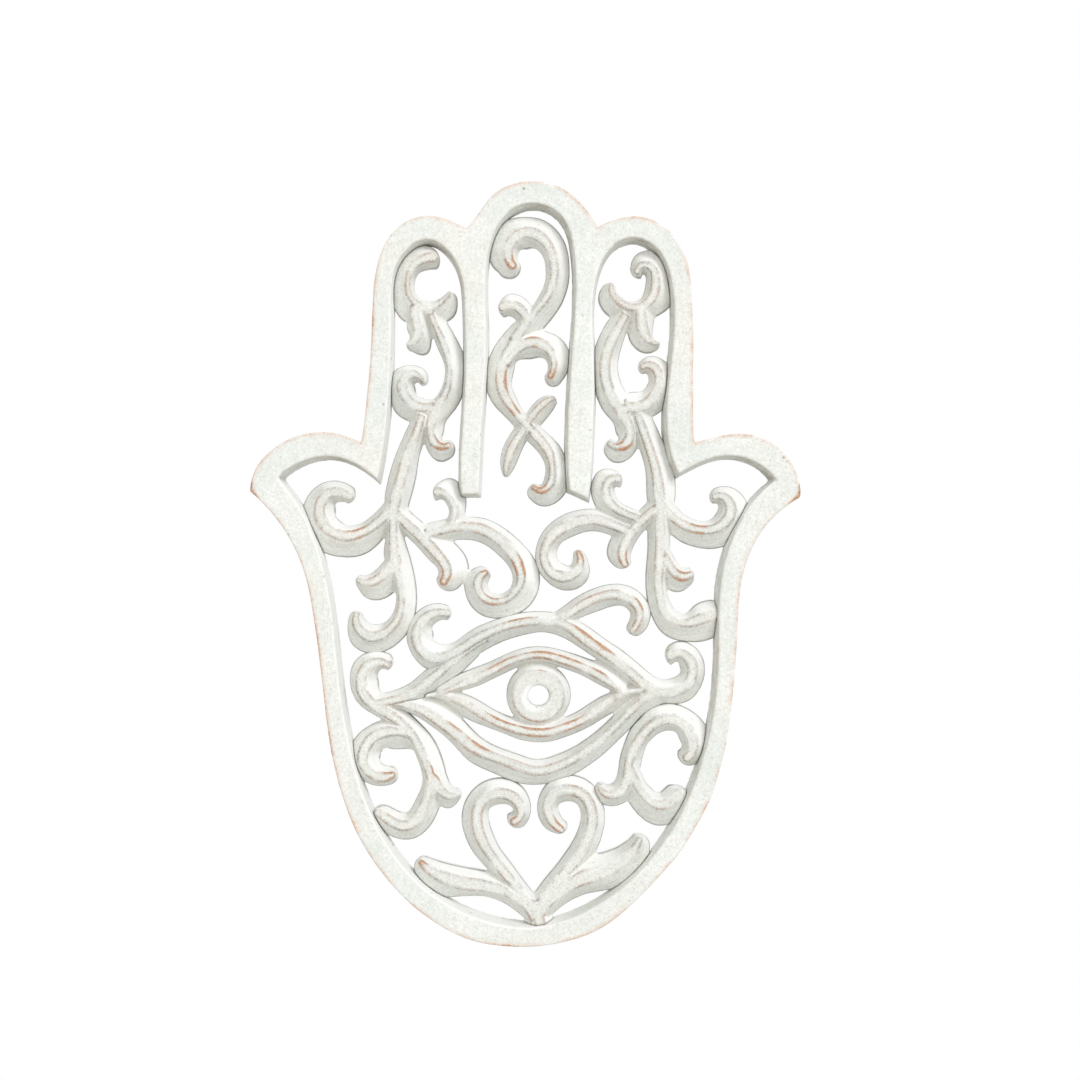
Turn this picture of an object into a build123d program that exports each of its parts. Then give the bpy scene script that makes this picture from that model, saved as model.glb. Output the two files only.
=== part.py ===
"""A hamsa hand for a wall: a flat board hand filled with carved scrolls, hung by two rings."""

import os
from math import atan2, degrees, hypot

from build123d import *

os.makedirs("parts", exist_ok=True)

# Driving dimensions in millimetres. X runs across the hand, Z up it, and the front faces -Y.
# Heights are measured from the hand's lowest point. Z is zero on the bottom rail's back face.
heel_height = 5.0
board_thickness = 15.0
frame_draft = 1.6
frame_seam_offset = 107.0
frame_seam_height = 231.0

# Carving: its land lies below the board's face, and bevels run down from it to a straight wall.
carving_recess = 2.5
carving_wall = 5.0
land_width = 5.2
leaf_land_width = 7.0
tip_roundness = 0.5
iris_across = 6.0
iris_height = 130.8
iris_radius = 17.0
iris_land_radius = 13.6
pupil_radius = 5.6

# Hangers: behind each finger bar a folded strap, two screws and a wire ring.
hanger_height = 346.0
left_hanger_across = -27.2
right_hanger_across = 30.4
strap_width = 7.4
strap_end_margin = 4.0
strap_thickness = 0.9
ring_wire = 2.0
ring_side_clearance = 0.8
ring_reach = 12.0
ring_corner = 4.0
ring_heel_corner = 1.4
ring_clearance = 0.1
ring_wood_gap = 0.15
screw_shank = 2.4
screw_hole_clearance = 0.1
screw_length = 10.0
screw_head = 5.0
screw_head_height = 1.6
screw_head_round = 1.2
screw_spacing = 10.0
screw_from_knuckle = 7.0

board = Plane(origin=(0, 0, -heel_height), x_dir=(1, 0, 0), z_dir=(0, -1, 0))
land_height = board_thickness - carving_recess
knuckle_level = hanger_height - heel_height
knuckle_bore = ring_wire / 2 + ring_clearance
knuckle_radius = knuckle_bore + strap_thickness
ring_width = strap_width + 2 * (ring_wire + ring_side_clearance)
strap_length = screw_from_knuckle + screw_spacing + strap_end_margin
ring_lean = degrees(atan2(knuckle_radius - ring_wire / 2 - ring_wood_gap, ring_reach))


def face_of(stretches, plane):
    """A flat face bounded by smooth stretches that meet at corners."""
    with BuildSketch(plane) as outline:
        with BuildLine():
            for points in stretches:
                if len(points) > 2:
                    Spline(*points)
                else:
                    Line(*points)
        make_face()
    return outline.sketch


def directions(points):
    """The way a line of points runs at each of them, as unit vectors in X and Z."""
    runs = []
    for index in range(len(points)):
        x_back, z_back = points[max(index - 1, 0)][:2]
        x_on, z_on = points[min(index + 1, len(points) - 1)][:2]
        length = hypot(x_on - x_back, z_on - z_back)
        runs.append(((x_on - x_back) / length, (z_on - z_back) / length))
    return runs


def drawn_in(stretches, distance):
    """The stretches of a clockwise outline moved inwards, corner for corner."""
    runs = [directions(points) for points in stretches]
    moved = []
    for index, points in enumerate(stretches):
        following = runs[(index + 1) % len(stretches)][0]
        own = list(runs[index])
        own[0] = mitre(runs[index - 1][-1], own[0])
        own[-1] = mitre(own[-1], following)
        moved.append([(x + dz * distance, z - dx * distance) for (x, z), (dx, dz) in zip(points, own)])
    return moved


def mitre(before, after):
    """The run whose side step keeps the same distance from both runs at a corner."""
    dx = before[0] + after[0]
    dz = before[1] + after[1]
    scale = 1 + before[0] * after[0] + before[1] * after[1]
    return dx / scale, dz / scale


def ribbon(stations, lefts, rights, start_reach, end_reach, plane):
    """A closed sketch of a stroke: its two sides and its two ends, rounded where they reach out."""
    runs = directions(stations)
    left_side = []
    right_side = []
    for (x, z, *_), (dx, dz), left, right in zip(stations, runs, lefts, rights):
        left_side.append((x - dz * left, z + dx * left))
        right_side.append((x + dz * right, z - dx * right))
    with BuildSketch(plane) as outline:
        with BuildLine():
            Spline(*left_side)
            end_of_stroke(runs[-1], end_reach, left_side[-1], right_side[-1])
            Spline(*reversed(right_side))
            end_of_stroke(runs[0], -start_reach, right_side[0], left_side[0])
        make_face()
    return outline.sketch


def end_of_stroke(run, reach, first, last):
    """One end of a stroke: square where it is let into another stroke, else a round tip."""
    if reach == 0:
        Line(first, last)
        return
    middle_x = (first[0] + last[0]) / 2
    middle_z = (first[1] + last[1]) / 2
    ThreePointArc(first, (middle_x + run[0] * reach, middle_z + run[1] * reach), last)


def carve(*stations, tips="end", start_reach=None, end_reach=None, land=land_width):
    """Add one carved stroke: a straight wall at the back, then bevels up to a narrow flat land.

    A station is (x, z, left, right): a point of the land and the bevels' reach to either side.
    """
    lefts = [station[2] for station in stations]
    rights = [station[3] for station in stations]
    halves = [min(land / 2, 0.45 * left, 0.45 * right) for left, right in zip(lefts, rights)]
    reaches = [0.0, 0.0]
    land_reaches = [0.0, 0.0]
    for slot, (end, given) in enumerate((("start", start_reach), ("end", end_reach))):
        at = -slot
        if end in tips:
            reaches[slot] = given or tip_roundness * (lefts[at] + rights[at]) / 2
            land_reaches[slot] = halves[at]
    foot = ribbon(stations, lefts, rights, *reaches, board)
    shoulder = ribbon(stations, lefts, rights, *reaches, board.offset(carving_wall))
    top = ribbon(stations, halves, halves, *land_reaches, board.offset(land_height))
    extrude(foot, amount=carving_wall)
    loft([shoulder.face(), top.face()], ruled=True)


def seat(*neighbours):
    """Cut the piece in hand where others stand, and keep the one body that is left."""
    for neighbour in neighbours:
        add(neighbour.part, mode=Mode.SUBTRACT)
    add(solids().sort_by(SortBy.VOLUME)[-1], mode=Mode.REPLACE)


# The board hand: three arched fingers, two curled thumbs, and two finger bars that hang free.
hand_outside = [
    [(-31.5, 375.3), (-25.5, 383), (-17.5, 393.2), (2, 400), (20.5, 395), (31, 385), (37, 376)],
    [(37, 376), (46, 380), (58, 381.6), (72, 376), (82, 363), (86.2, 338), (87, 300), (87.5, 263.5)],
    [(87.5, 263.5), (97, 266), (110, 268), (123, 265.7), (134, 258.5), (141, 247.5), (142.8, 235)],
    [
        (142.8, 235), (130, 225.5), (120, 213), (113.5, 197), (110, 165), (107, 127), (100.5, 91),
        (87, 60), (64, 31), (36, 8.2), (3, 0), (-33, 4.7), (-61, 22.5), (-83, 49), (-98.5, 85),
        (-106.3, 131), (-111.5, 172), (-119.5, 204), (-130, 222.5), (-145, 238),
    ],
    [(-145, 238), (-141.5, 250), (-130, 262), (-110, 268.8), (-97, 267.6), (-86.7, 263)],
    [
        (-86.7, 263), (-84, 283), (-81, 327), (-77.5, 359), (-68, 375.5), (-52, 382), (-39, 379),
        (-31.5, 375.3),
    ],
]
hand_inside = [
    [
        (-78.5, 244), (-75, 263), (-72.4, 290), (-71.3, 333), (-67.5, 358), (-52.5, 369.4),
        (-37.5, 358), (-33, 335), (-32.5, 300), (-34.8, 240),
    ],
    [(-34.8, 240), (-34, 236.3)],
    [(-34, 236.3), (-25.6, 236.3)],
    [
        (-25.6, 236.3), (-24, 270), (-21.5, 325), (-19.5, 367), (-11, 382.5), (4, 388.3), (17.5, 382),
        (24, 365), (24, 320), (21.4, 280), (22, 238.5),
    ],
    [(22, 238.5), (31.5, 234.2)],
    [
        (31.5, 234.2), (34.2, 265), (34.6, 310), (37.5, 354), (46, 367), (56.5, 370.3), (68, 364.5),
        (75, 349), (75, 305), (79.3, 246.8),
    ],
    [(79.3, 246.8), (90, 252.6), (104, 256.4), (119, 253.2), (130, 243.8)],
    [
        (130, 243.8), (117, 231.2), (106.5, 212), (100.8, 189), (99.8, 155), (97, 121), (88.8, 90),
        (76, 62), (58, 38), (33, 19.3), (4, 10), (-27, 15), (-55, 31.7), (-76, 58), (-91, 97),
        (-98.5, 140), (-104.7, 189), (-115, 222), (-130.5, 245),
    ],
    [(-130.5, 245), (-118, 253), (-102, 256), (-88, 251.3), (-78.5, 244)],
]

with BuildPart() as hand_ring:
    extrude(face_of(hand_outside, board), amount=board_thickness)
    opening_at_back = face_of(drawn_in(hand_inside, frame_draft), board)
    opening_at_front = face_of(hand_inside, board.offset(board_thickness))
    loft([opening_at_back.face(), opening_at_front.face()], ruled=True, mode=Mode.SUBTRACT)

# Left finger: a curl on top, a stem with a volute and a foot, and the vine that runs down from it.
with BuildPart() as left_finger_curl:
    carve(
        (-49, 360.8, 5.5, 6.5), (-55, 359.2, 4.5, 9.5), (-60, 355, 3, 10.5), (-62.2, 349, 2.8, 10),
        (-62, 342.5, 3, 10), (-58.5, 336.8, 3.6, 11), (-52, 334, 4.5, 7), (-46, 336.6, 3.2, 9.5),
        (-40.6, 342.2, 1.8, 5.2), tips="start end",
    )
    carve(
        (-58, 335.5, 7, 10), (-57.5, 327, 6, 6), (-57, 321.5, 6.5, 6), (-59, 317.5, 9.2, 4),
        (-62.6, 315.2, 3.8, 1.8),
    )
    seat(hand_ring)

with BuildPart() as left_finger_stem:
    carve(
        (-50.5, 331, 5, 3), (-47.5, 323.5, 6.5, 3), (-43.8, 315.5, 7.5, 3.8), (-41, 306, 8.5, 2.8),
        (-40.8, 297, 8.5, 3), (-42.8, 289.5, 8.2, 3.6), (-46.8, 283, 8, 4.2), (-49.8, 276, 6.8, 5.5),
        (-50.4, 268.5, 6.2, 4.3), (-49, 264.2, 5, 5), (-46, 262, 4, 7.8), (-41.2, 262.2, 3.2, 6.8),
        end_reach=3.2,
    )
    carve(
        (-49, 283, 6, 4), (-56, 282.3, 8.2, 5), (-62, 285.8, 9.5, 5), (-65, 291.5, 8, 6),
        (-63.8, 297, 8, 5), (-60, 299.6, 5.2, 4.5), (-56.2, 297.8, 4.6, 2.6), (-54.6, 295.2, 2.8, 2),
    )
    seat(hand_ring, left_finger_curl)

with BuildPart() as left_vine:
    carve(
        (-55, 278, 4, 5), (-58.5, 267, 4.5, 6.2), (-61.8, 258.5, 5.2, 6.6), (-64.5, 250, 6.6, 7),
        (-67, 241, 7.2, 7), (-69, 233, 7, 6.5), (-70, 225, 6, 5), (-70, 215, 5, 4.5),
        (-69.5, 205, 7, 6), (-67.5, 196, 7.5, 4.5), (-66, 188, 7.5, 3.5), (-65.7, 180, 7.5, 3.5),
        (-67.5, 172, 8, 4), (-72.5, 165.5, 8.5, 4.5), (-79.5, 162, 9.3, 6), (-86, 164, 9.2, 5.5),
        (-89.5, 169.5, 5.6, 4), (-89.5, 173.5, 3.8, 2.5),
    )
    seat(hand_ring, left_finger_stem)

with BuildPart() as left_leaf:
    carve((-69, 201, 5, 5), (-75, 194.5, 10, 5), (-81, 190.8, 10.4, 4.5), (-88.6, 191.6, 4.6, 2.6))
    seat(hand_ring, left_vine)

with BuildPart() as left_thumb_curl:
    carve(
        (-70, 229.5, 6, 6), (-80.5, 220, 8, 5), (-88.5, 215.8, 11, 5), (-95.5, 214.8, 11.5, 5.5),
        (-102.3, 217.2, 12.5, 6.5), (-107.5, 222.7, 12, 7), (-108.5, 229.8, 9.5, 7.5),
        (-105, 236, 7.5, 5.5), (-99.3, 237.6, 6, 5), (-93.2, 235.3, 5, 3.8),
    )
    seat(hand_ring, left_vine)

with BuildPart() as left_palm_barb:
    carve(
        (-69, 227, 6, 5), (-61, 219, 6, 5), (-54, 212.8, 7, 5.5), (-47, 205, 10.5, 5.5),
        (-42.2, 197.5, 11.5, 5), (-43.6, 191, 9.2, 4.5), end_reach=5,
    )
    seat(hand_ring, left_vine)

with BuildPart() as left_palm_spiral:
    carve(
        (-53, 215.5, 5.5, 5), (-44, 218.2, 5, 6.5), (-35, 219.6, 5, 7), (-25, 218.6, 5.8, 7),
        (-16, 214.2, 6, 7), (-9, 207.5, 7, 6.5), (-4.5, 199.5, 9, 5), (-3.2, 191.5, 10, 4.5),
        (-6.5, 185, 10.8, 3.5), (-13, 180.8, 9.5, 3.5), (-20, 181, 9.2, 4), (-24.8, 185.5, 8, 4.5),
        (-25.6, 191, 7, 5), (-21.8, 195.4, 4.8, 3.2),
    )
    carve(
        (-46, 217, 4, 4), (-39.5, 221.5, 3.5, 6), (-37.6, 227, 3.5, 5), (-39, 232.5, 3.5, 7.5),
        (-42.8, 236.8, 3.5, 9), (-47, 237.8, 5, 6),
    )
    seat(hand_ring, left_vine, left_palm_barb)

# Right finger, which repeats the left one with its own bends.
with BuildPart() as right_finger_curl:
    carve(
        (57.8, 353.2, 4.6, 3.6), (61.3, 356.6, 8, 3.6), (65.5, 355, 11, 4), (67.3, 349.5, 10, 4.5),
        (66.3, 341.5, 11, 5), (62, 336, 7.5, 4.5), (55, 334.5, 6.5, 4), (48.8, 337.2, 8.5, 3.5),
        (44.8, 342, 8, 3), (44.2, 346.4, 4.6, 2.2), tips="start end",
    )
    carve(
        (60, 336, 10, 8), (60, 327, 7, 7), (61.5, 321, 5.5, 8), (64.5, 317, 3.4, 6.6),
        (69, 315.6, 1.8, 3.2),
    )
    seat(hand_ring)

with BuildPart() as right_finger_stem:
    carve(
        (52, 331, 4, 5), (47.5, 323, 5, 7), (43.5, 315, 6.5, 7), (41, 306, 7, 7),
        (41.2, 297, 7.5, 7), (43.8, 289, 8, 7), (48, 282, 8, 7), (52, 275.5, 6, 6.5),
        (54, 268, 5, 6.5), (52.3, 263.5, 6.5, 5.5), (48.5, 261.5, 8.4, 4), (43.5, 263, 6.5, 3),
    )
    carve(
        (51, 283, 6, 6), (58.5, 282.3, 8.6, 6.5), (65, 286, 7, 8), (69.3, 293, 6, 8),
        (68.8, 300, 5, 8), (64.8, 304, 4, 5.8), (60.3, 303, 3, 3.6),
    )
    seat(hand_ring, right_finger_curl)

with BuildPart() as right_vine:
    carve(
        (58, 278, 7, 4), (61.5, 268, 8, 4.5), (64.8, 258.5, 9, 4.5), (67.5, 249, 9.6, 5),
        (69, 239, 9.5, 6), (69.8, 229, 7.5, 6.2), (70, 218, 5.5, 6.4), (69.8, 206, 5.5, 6.4),
        (69, 194, 5, 6.5), (69.4, 184, 4.6, 6.5), (71.8, 176, 4.8, 7), (77, 170.8, 4.5, 9.5),
        (83.5, 169.2, 4.4, 10.5), (89.5, 170.6, 7, 12), (95, 172.5, 8, 12), (102, 175, 6, 10), tips="none",
    )
    seat(hand_ring, right_finger_stem)

with BuildPart() as right_leaf:
    carve((69, 207, 5, 5), (74.5, 199, 5, 8), (80, 193.8, 5, 9), (85.8, 194.4, 3.6, 5.6))
    seat(hand_ring, right_vine)

with BuildPart() as right_thumb_curl:
    carve(
        (69, 233, 6, 6), (77, 224.5, 5, 7), (84.5, 219.5, 4.8, 8.5), (92.5, 217.8, 4.5, 9.8),
        (99.5, 219, 5, 11), (105, 223.5, 6, 11), (106.8, 229.5, 6, 10), (103.5, 234.8, 4.5, 6.8),
        (98.4, 235.2, 3.6, 4.6),
    )
    seat(hand_ring, right_vine)

with BuildPart() as right_palm_barb:
    carve((68, 229, 5, 6), (59, 221.5, 5, 5), (52.5, 213, 5, 7), (50, 206, 5, 8), (51.5, 199.6, 3.6, 5.2))
    seat(hand_ring, right_vine)

with BuildPart() as right_palm_spiral:
    carve(
        (54, 217, 5, 5), (45, 220.5, 5.5, 5), (37.5, 223, 6, 5.6), (29, 223, 6.5, 5.6),
        (20.5, 219.8, 6.5, 6), (13.5, 214.8, 6, 5.4), (9.5, 208, 6.5, 4.8), (9.5, 200.5, 7, 4.8),
        (13.5, 195, 7, 5.4), (20, 193.3, 6.5, 7.6), (26, 196, 4.5, 7.6), (28, 201.5, 4, 4.4),
        (26.8, 206.2, 2.6, 2.6),
    )
    carve(
        (60, 223, 4, 4), (51.5, 226.4, 4.2, 4), (44.6, 230.8, 6.6, 4.6), (41.4, 237.5, 7.6, 4.8),
        (42.8, 243.2, 7.6, 4.5), (47.8, 244.6, 5, 4.8),
    )
    seat(hand_ring, right_vine, right_palm_barb, left_palm_spiral)

# Middle finger: a tall curl, a stem that swings across it, and crossed leaves with a hook below.
with BuildPart() as middle_finger_curl:
    carve(
        (-7.5, 356.5, 8, 4.5), (-9.8, 363, 11, 5), (-7.5, 369.5, 12, 5.5), (-1.5, 373.5, 9.6, 7.5),
        (6, 372, 9.5, 6), (11.8, 365.5, 9, 4.5), (14.3, 356.5, 8.2, 4.6), (13.2, 346.5, 8.2, 4.2),
        (9, 338, 8.5, 4), (3, 330.5, 8.5, 3.5), (-4, 321, 7.5, 6.5), (-7, 316.5, 6, 6),
        tips="start", start_reach=5.5,
    )
    carve((-13, 334.5, 4.4, 4.6), (-8, 335.8, 6.6, 5), (-2.5, 332.5, 6, 5), (0.5, 326, 4, 6), tips="start")
    seat(hand_ring)

with BuildPart() as middle_finger_stem:
    carve(
        (-4, 321, 7, 6.5), (-9.5, 312, 5, 8), (-13.3, 302, 6.3, 8.5), (-13.5, 294, 5.5, 8.5),
        (-10.5, 286, 5, 7), (-6, 279.5, 4, 5.5), (-1, 273.5, 4, 5), (2.5, 270, 4, 4), tips="none",
    )
    carve(
        (-11, 304.5, 5, 4), (-6, 312, 6, 5.5), (1, 316, 6.5, 8), (8, 315, 8, 7), (13, 310, 9.5, 4),
        (14, 303.5, 8, 3), (12.2, 298.5, 6.5, 3), end_reach=4.5,
    )
    seat(hand_ring, middle_finger_curl)

with BuildPart() as middle_finger_leaves:
    carve((-1, 271, 4, 5), (5.5, 281, 3.8, 6.5), (10, 285, 3.5, 5.5), (14, 287, 2, 3))
    carve(
        (1, 274, 4, 5), (-5, 265.5, 4.5, 5), (-8.8, 258, 4.8, 4.8), (-10.8, 250.5, 3.6, 3.4),
        (-11.4, 246.5, 1.8, 1.6),
    )
    seat(hand_ring, middle_finger_stem)

with BuildPart() as middle_finger_hook:
    carve(
        (-1, 274, 4, 4), (6.5, 265.5, 5.5, 5), (11.5, 258.5, 7, 4.5), (13.3, 250, 8.5, 3.6),
        (12.5, 243, 9.5, 4), (9, 239, 9, 3.6), (3.5, 240.2, 6.8, 2.4), end_reach=3,
    )
    seat(hand_ring, middle_finger_stem, middle_finger_leaves)

# The eye: a brow that curls at both ends, an almond, an iris and the band below.
with BuildPart() as eye_brow:
    carve(
        (-42, 174, 4, 4), (-49, 174, 5, 5), (-55.3, 169.5, 6.4, 5.5), (-58, 162.5, 8.6, 5.5),
        (-55.5, 155.5, 7.4, 6.4), (-48, 151, 7, 8), (-38.5, 153.3, 5, 7.5), (-28.5, 159.6, 5, 8),
        (-15.5, 166, 4.6, 7.5), (0, 169.8, 4.8, 7), (8, 170.3, 4.6, 6.5), (18.3, 168.8, 4.5, 7),
        (27.7, 162.7, 6, 5.8), (37.3, 155.6, 6.2, 5.4), (47.3, 148.8, 6.2, 5.2), (57.3, 140.2, 6.4, 5),
        (65.5, 134.6, 6, 5), (73, 133, 5.8, 6.6), (80.5, 134.7, 6, 8.5), (86, 140.5, 5.5, 7.4),
        (86.5, 147, 6, 7), (82, 152.5, 5, 6.6), (75.4, 151.8, 5.2, 5.2), tips="start end",
    )
    seat(hand_ring, left_vine, right_vine, left_palm_spiral)

with BuildPart() as brow_branch:
    carve(
        (15, 169.5, 4, 4), (22, 174, 4.5, 5), (30.5, 179.3, 5, 6.5), (40, 183.3, 5, 7),
        (48.5, 183.8, 5.5, 6), (55.5, 180.5, 6, 5), (59, 174.5, 6.2, 4.5), (57.6, 168.5, 6, 4),
        (55, 164.6, 4.6, 3.2),
    )
    seat(eye_brow, right_vine, right_palm_spiral)

with BuildPart() as eye_almond:
    carve(
        (-46, 131.6, 4.4, 1.8), (-38, 135.2, 5, 3.2), (-30, 138.8, 5.2, 4.5), (-20.5, 143, 4.5, 4.5),
        (-10, 148.4, 4, 4.8), (0, 151.8, 4, 4.6), (8, 152.3, 4, 4.5), (18.3, 149.8, 4.4, 4.6),
        (30.3, 145.3, 5, 4.5), (40.3, 140, 6.4, 4.5), (49.5, 133, 7, 2), tips="start end",
    )
    carve(
        (-53, 130.7, 1.2, 1.2), (-45.5, 130.8, 2.2, 2.4), (-38, 129, 3.4, 5.2), (-30.5, 125.8, 4.2, 7.2),
        (-20.5, 119.6, 4.5, 5.8), (-10, 114.8, 4.5, 5), (0, 112.2, 4.5, 5.8), (10, 111.7, 4.6, 5.8),
        (18.3, 113.8, 4.5, 5.6), (28.3, 117.8, 4.5, 5.6), (38.3, 124.3, 4.5, 6), (48.6, 131.2, 2.2, 6.8),
        (59.5, 133.2, 1.8, 1.8), tips="start end",
    )
    seat(eye_brow)

with BuildPart() as iris_ring:
    with BuildSketch(board) as iris_foot:
        with Locations((iris_across, iris_height)):
            Circle(iris_radius)
    with BuildSketch(board.offset(carving_wall)) as iris_shoulder:
        with Locations((iris_across, iris_height)):
            Circle(iris_radius)
    with BuildSketch(board.offset(land_height)) as iris_top:
        with Locations((iris_across, iris_height)):
            Circle(iris_land_radius)
    with BuildSketch(board) as pupil:
        with Locations((iris_across, iris_height)):
            Circle(pupil_radius)
    extrude(iris_foot.sketch, amount=carving_wall)
    loft([iris_shoulder.sketch.face(), iris_top.sketch.face()], ruled=True)
    extrude(pupil.sketch, amount=land_height, mode=Mode.SUBTRACT)
    seat(eye_almond)

# The left cheek's scroll branches to the brow, and the band below the eye is let into both.
with BuildPart() as left_cheek_curl:
    carve(
        (-73, 147.3, 3.6, 5), (-79, 148.4, 5, 5.5), (-84.8, 145, 7.2, 7), (-87, 138, 8.6, 6.6),
        (-85, 130.8, 8, 6), (-79, 125.5, 6, 5.5), (-70.8, 120.3, 6, 5), (-62.5, 113.3, 6, 4.4),
        (-56.3, 103.5, 8, 4.2), (-52.3, 94.5, 8, 4.4), (-50.3, 84.5, 8, 5), (-52.5, 77, 8, 5),
        (-56, 69, 8, 5.5), (-61.5, 63.5, 8.6, 5.5), (-67, 63.3, 8.4, 5.5), (-73, 66.5, 8, 5),
        (-78.5, 70.2, 4.5, 3), tips="start end",
    )
    carve(
        (-81, 127, 4, 4), (-68, 129.2, 4.4, 5), (-58.5, 133, 5.2, 6), (-50.5, 139.4, 5.4, 7.2),
        (-43, 145.6, 4.4, 7.8), (-36, 151.4, 4, 7.6), (-29, 156.4, 3.6, 6.2), (-21, 161, 3, 4.4), tips="none",
    )
    carve((-51, 90, 4, 3), (-46, 82.5, 6, 6), (-40.5, 78.5, 4, 8), (-36.2, 79.4, 2.2, 3.6))
    seat(hand_ring, eye_brow, eye_almond)

with BuildPart() as eye_lower_band:
    carve(
        (-75, 128.4, 4, 4), (-63, 126.6, 5, 5), (-55, 123.6, 8, 5.2), (-45.5, 117.4, 8.6, 5.5),
        (-36.5, 110.6, 7, 6), (-27.5, 103.5, 5.8, 8), (-15, 98, 4.8, 9), (-5, 94.2, 5, 9.5),
        (5, 91.7, 5, 8.5), (15, 93.6, 5, 8.2), (25.2, 98.4, 4.6, 8.2), (35.2, 105.2, 4.2, 7.6),
        (45.3, 114, 4, 7.2), (52.2, 120.8, 4, 6.8), (58.4, 126.8, 4, 6.8), (64.4, 131, 4, 7.6),
        (71, 133.2, 4, 7), tips="none",
    )
    seat(eye_brow, eye_almond, left_cheek_curl)

# Cheeks: the other scrolls between the eye and the sides of the hand.
with BuildPart() as left_cheek_scroll:
    carve(
        (-53, 101.5, 5, 3), (-57.6, 108, 7.6, 4), (-66, 111.8, 10.2, 4), (-73, 112.2, 10.2, 5.5),
        (-80.5, 109.2, 8.4, 6),
        (-85, 103.2, 8.4, 7.5), (-85.8, 96.2, 8.6, 7), (-82, 91, 6.6, 7), (-76.5, 88.5, 5.5, 6),
        (-70.5, 89.5, 3.8, 5),
    )
    seat(hand_ring, left_cheek_curl)

with BuildPart() as right_cheek_stem:
    carve(
        (71, 118.6, 3, 3), (66, 115.7, 4.4, 5.4), (62, 112, 5, 6.4), (56.8, 104.4, 6, 5.5),
        (53.3, 95.5, 7, 4.5), (52.3, 87, 7, 5), (48, 80, 7, 5), (42, 79.5, 7, 4), (38, 83, 3.5, 2.5),
    )
    carve(
        (53, 94, 5, 5), (57.8, 84.5, 4.5, 8.2), (62.8, 77.8, 4.5, 10), (68.8, 74, 5, 12), (75, 75.5, 6, 12),
        (80, 80.5, 3.8, 8),
    )
    seat(hand_ring, eye_brow, eye_lower_band)

with BuildPart() as right_cheek_scroll:
    carve(
        (57, 104.5, 5, 5), (62.5, 112.5, 6, 6), (69.5, 118, 7.4, 7), (76.5, 118.8, 7.4, 7),
        (82.8, 115.2, 8.4, 6), (86.3, 109, 10, 6), (86.8, 103, 9, 5), (84, 98.6, 7, 5), end_reach=4.5,
    )
    seat(hand_ring, eye_brow, eye_lower_band, right_cheek_stem)

# The heart, its stem and the leaves at the heel of the hand.
with BuildPart() as heart_left:
    carve(
        (6, 18, 4, 4), (-5, 30.6, 5, 4), (-12, 38.6, 6, 5), (-18.2, 46.7, 7.4, 5), (-23.2, 54.7, 8, 6),
        (-26.2, 64.8, 8.4, 6), (-25.2, 73, 7.5, 6), (-19.2, 79, 7, 7), (-11.2, 79.5, 7, 6.5),
        (-5.2, 76, 6, 5.5), (-3, 70, 5, 4.4), (-6.6, 65.2, 6.2, 4.6), end_reach=4,
    )
    carve((5.5, 24, 4, 4), (6, 17, 5.6, 6), (6.8, 11.5, 8, 9), (7.2, 6, 10, 11.5), tips="none")
    seat(hand_ring, eye_lower_band, left_cheek_curl)

with BuildPart() as heart_right:
    carve(
        (18, 60.8, 4.2, 4), (12.5, 66.5, 6, 5), (11, 74, 5.4, 6), (15, 80, 6, 7), (22.2, 81.6, 7, 7),
        (29.3, 79, 7, 6.5), (33.3, 73, 7, 6), (34.3, 66, 6.8, 6), (31.3, 54.8, 7.4, 6), (26.2, 45.7, 7.4, 6),
        (18.2, 36.6, 6, 5), (10.2, 27.5, 5, 4.5), (4, 18, 4, 4), tips="start", start_reach=3,
    )
    seat(hand_ring, heart_left, eye_lower_band, right_cheek_stem)

with BuildPart() as base_leaf_left:
    carve(
        (4, 14, 5, 5), (-7, 26, 7, 4), (-20, 31, 7, 6), (-34, 33, 9, 7), (-46, 37, 13, 6),
        (-55.4, 43.6, 7, 2.8), land=leaf_land_width,
    )
    seat(hand_ring, heart_left)

with BuildPart() as base_leaf_right:
    carve(
        (6, 14, 5, 5), (16, 27, 5, 8), (28, 35, 9, 10), (42, 40.2, 8, 12.5), (52, 46.2, 6, 12),
        (58.8, 55.6, 3, 7.5), land=leaf_land_width,
    )
    seat(hand_ring, heart_left, heart_right)

# Hangers on the backs of the finger bars. Each ring leans on the wood, ready for a nail.
screw_heights = [hanger_height - screw_from_knuckle - row * screw_spacing for row in range(2)]


def strap_at(across):
    """A steel strap folded into a knuckle at its upper end, with two screw holes."""
    with BuildPart() as strap:
        with BuildSketch(board):
            with Locations((across, hanger_height - strap_length / 2)):
                Rectangle(strap_width, strap_length)
        extrude(amount=-strap_thickness)
        lower_corners = strap.edges().filter_by(Axis.Y).group_by(Axis.Z)[0]
        fillet(lower_corners, strap_width / 2 - strap_thickness)
        with BuildSketch(Plane.YZ.offset(across)):
            with Locations((knuckle_radius, knuckle_level)):
                Circle(knuckle_radius)
        extrude(amount=strap_width / 2, both=True)
        with BuildSketch(Plane.YZ.offset(across)):
            with Locations((knuckle_radius, knuckle_level)):
                Circle(knuckle_bore)
        extrude(amount=strap_width / 2, both=True, mode=Mode.SUBTRACT)
        with BuildSketch(board):
            with Locations(*[(across, height) for height in screw_heights]):
                Circle(screw_shank / 2 + screw_hole_clearance)
        extrude(amount=-strap_thickness, mode=Mode.SUBTRACT)
    return strap


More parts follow.
